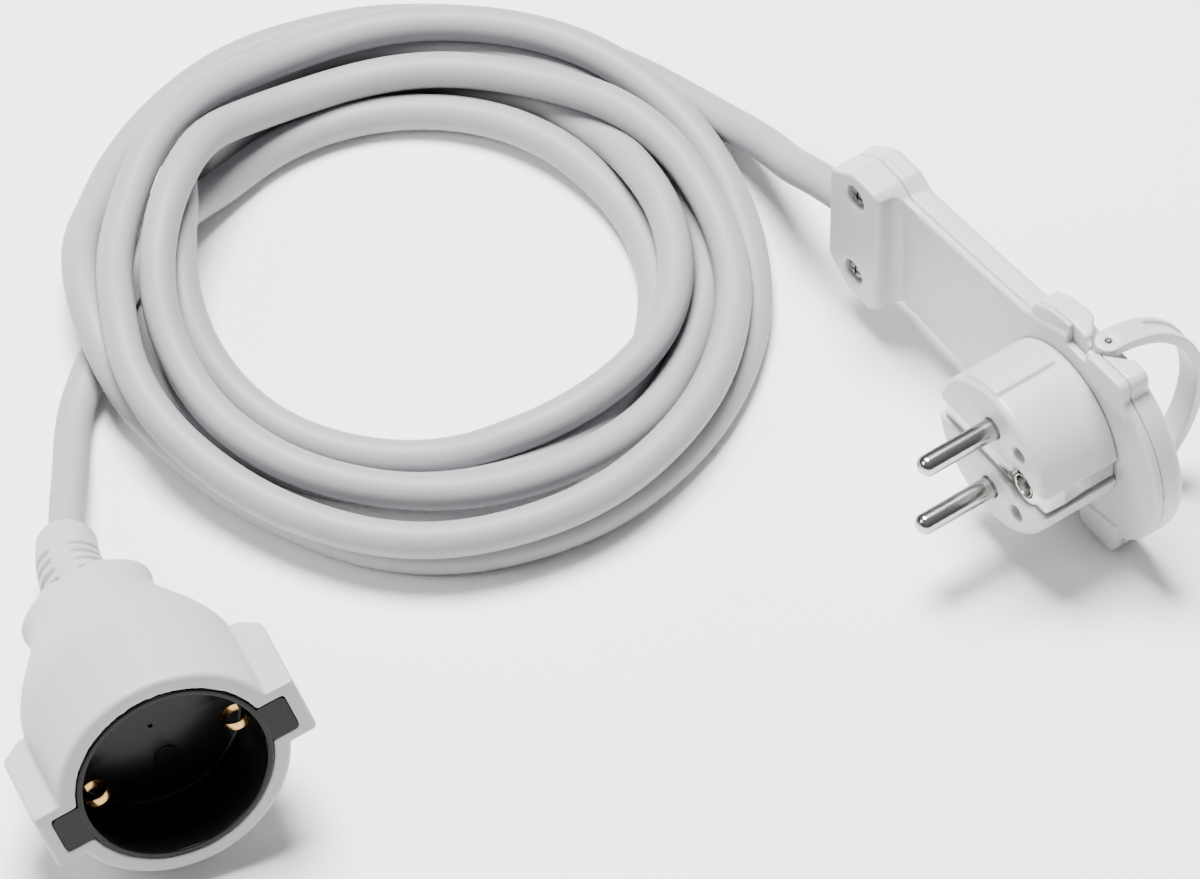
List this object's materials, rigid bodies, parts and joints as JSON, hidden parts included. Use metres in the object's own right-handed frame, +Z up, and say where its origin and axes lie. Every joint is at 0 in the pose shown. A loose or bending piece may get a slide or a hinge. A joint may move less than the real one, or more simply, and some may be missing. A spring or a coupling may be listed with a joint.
{
  "type": "extension cord",
  "caption": "Earthed indoor extension cord: round coupler socket with black insert, loosely coiled round sheathed cord and a flat angled plug with a swinging pull bail",
  "frame": {"origin": "centre of the footprint of coupler and plug together, on the floor (cord left out)", "axes": "+Z up; +Y away from the side the coupler opens towards; +X from coupler to plug"},
  "size_m": [0.2484, 0.2377, 0.0558],
  "materials": {
    "coupler_white": "satin, faintly grained moulded elastomer",
    "socket_black": "glossy",
    "contact_brass": "bright, as stamped",
    "core_brown": "plain wire insulation",
    "core_blue": "plain wire insulation",
    "core_green_yellow": "two-colour wire insulation",
    "plug_white": "satin to glossy moulded plastic",
    "pin_nickel": "nickel-plated brass, bright with faint turning marks",
    "screw_steel": "zinc-plated, dull",
    "cord_white": "satin round sheath"
  },
  "bodies": {
    "cord_set": {"coupler_housing": "coupler_white", "socket_insert": "socket_black", "socket_contact_live": "contact_brass", "socket_contact_neutral": "contact_brass", "socket_earth_bow": "contact_brass", "coupler_core_live": "core_brown", "coupler_core_neutral": "core_blue", "coupler_core_earth": "core_green_yellow", "coupler_bend_relief": "coupler_white", "plug_front_shell": "plug_white", "plug_rear_cover": "plug_white", "plug_pin_carrier": "plug_white", "pin_live": "pin_nickel", "pin_neutral": "pin_nickel", "plug_earth_band": "pin_nickel", "plug_earth_socket": "pin_nickel", "clamp_screw_upper": "screw_steel", "clamp_screw_lower": "screw_steel", "cord_clamp_saddle": "screw_steel", "plug_core_live": "core_brown", "plug_core_neutral": "core_blue", "plug_core_earth": "core_green_yellow", "bail_pivot_upper": "screw_steel", "bail_pivot_lower": "screw_steel", "cord_coil": "cord_white", "cord_tail_coupler": "cord_white", "cord_tail_plug": "cord_white"},
    "bail": {"pull_bail": "plug_white"}
  },
  "joints": [
    {"name": "bail_swing", "type": "hinge", "parent": "cord_set", "child": "bail", "pos_m": [0.1027, 0.02042, 0.0279], "axis": [0, 0, 1], "range_deg": [-45, 45]}
  ]
}
